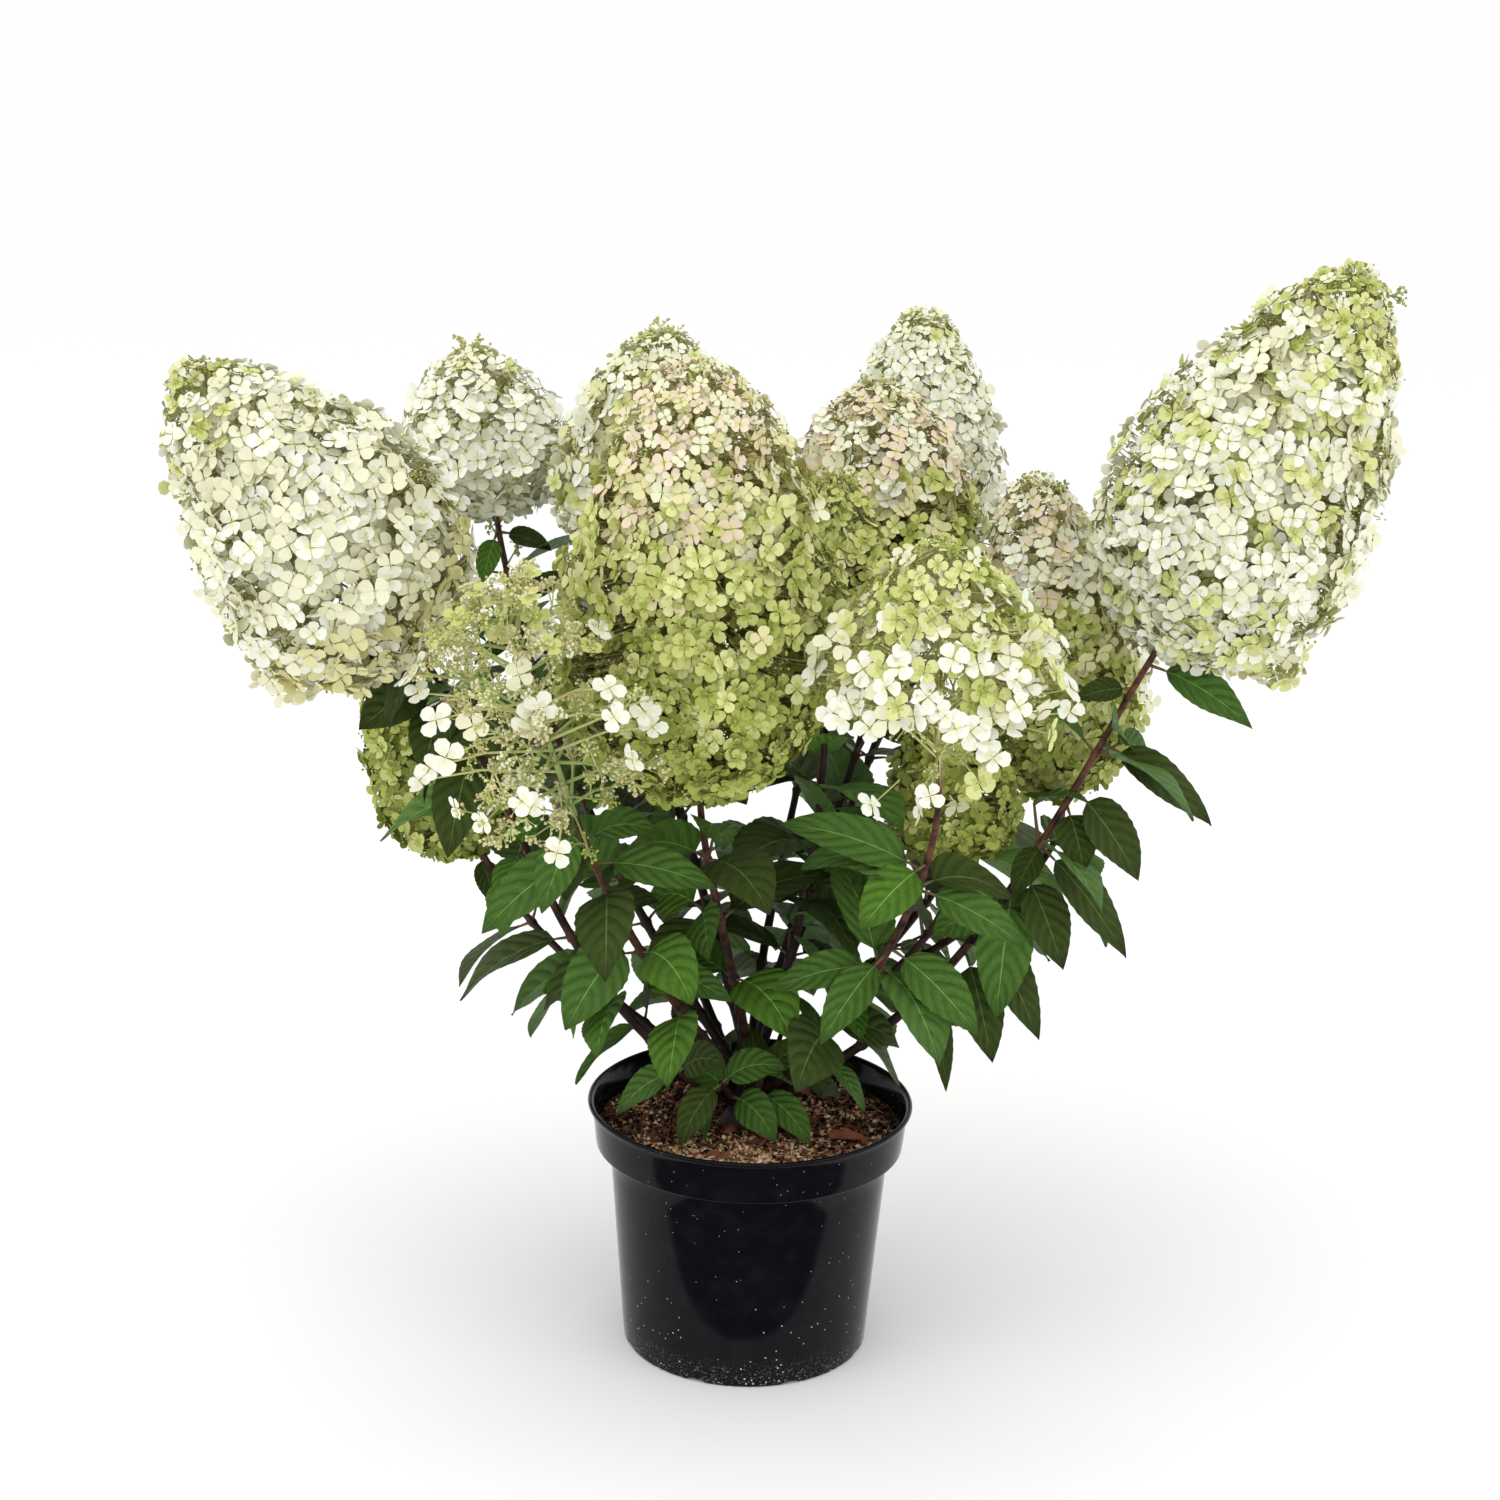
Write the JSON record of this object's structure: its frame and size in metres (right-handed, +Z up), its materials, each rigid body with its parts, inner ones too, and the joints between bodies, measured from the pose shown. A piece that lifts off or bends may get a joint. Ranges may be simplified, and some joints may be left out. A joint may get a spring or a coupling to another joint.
{
  "type": "potted panicle hydrangea",
  "caption": "Shrub with arching canes, pairs of drooping leaves and large cone-shaped cream flower heads, growing in a round black nursery pot filled with soil.",
  "frame": {"origin": "centre of the flat underside of the pot", "axes": "+Z up along the axis of the pot, -Y towards the side the picture shows, +X to the right"},
  "size_m": [0.906, 0.6827, 0.8803],
  "materials": {
    "pot": "gloss",
    "soil": "matte",
    "bark": "satin",
    "leaves": "matte",
    "petals": "matte"
  },
  "bodies": {
    "root": {"pot": "pot", "soil": "soil", "trunk": "bark", "cane_far_left": "bark", "cane_back_left": "bark", "cane_centre": "bark", "cane_behind_centre": "bark", "cane_centre_right": "bark", "cane_back_right": "bark", "cane_mid_right": "bark", "cane_right": "bark", "cane_front_right": "bark", "cane_far_right": "bark", "cane_low_right": "bark", "cane_low_left": "bark", "cane_front_left": "bark", "cane_rear_left": "bark", "cane_rear": "bark", "cane_rear_right": "bark", "leaves_far_left": "leaves", "leaves_back_left": "leaves", "leaves_centre": "leaves", "leaves_behind_centre": "leaves", "leaves_centre_right": "leaves", "leaves_back_right": "leaves", "leaves_mid_right": "leaves", "leaves_right": "leaves", "leaves_front_right": "leaves", "leaves_far_right": "leaves", "leaves_low_right": "leaves", "leaves_low_left": "leaves", "leaves_front_left": "leaves", "leaves_rear_left": "leaves", "leaves_rear": "leaves", "leaves_rear_right": "leaves", "leaves_foot_left": "leaves", "leaves_foot_front_left": "leaves", "leaves_foot_front": "leaves", "leaves_foot_front_right": "leaves", "leaves_foot_back_right": "leaves", "leaves_foot_back_left": "leaves", "panicle_far_left": "petals", "panicle_back_left": "petals", "panicle_centre": "petals", "panicle_behind_centre": "petals", "panicle_centre_right": "petals", "panicle_back_right": "petals", "panicle_mid_right": "petals", "panicle_right": "petals", "panicle_front_right": "petals", "panicle_far_right": "petals", "panicle_low_right": "petals", "panicle_low_left": "petals", "panicle_front_left": "petals", "panicle_rear_left": "petals", "panicle_rear": "petals", "panicle_rear_right": "petals"}
  },
  "joints": []
}
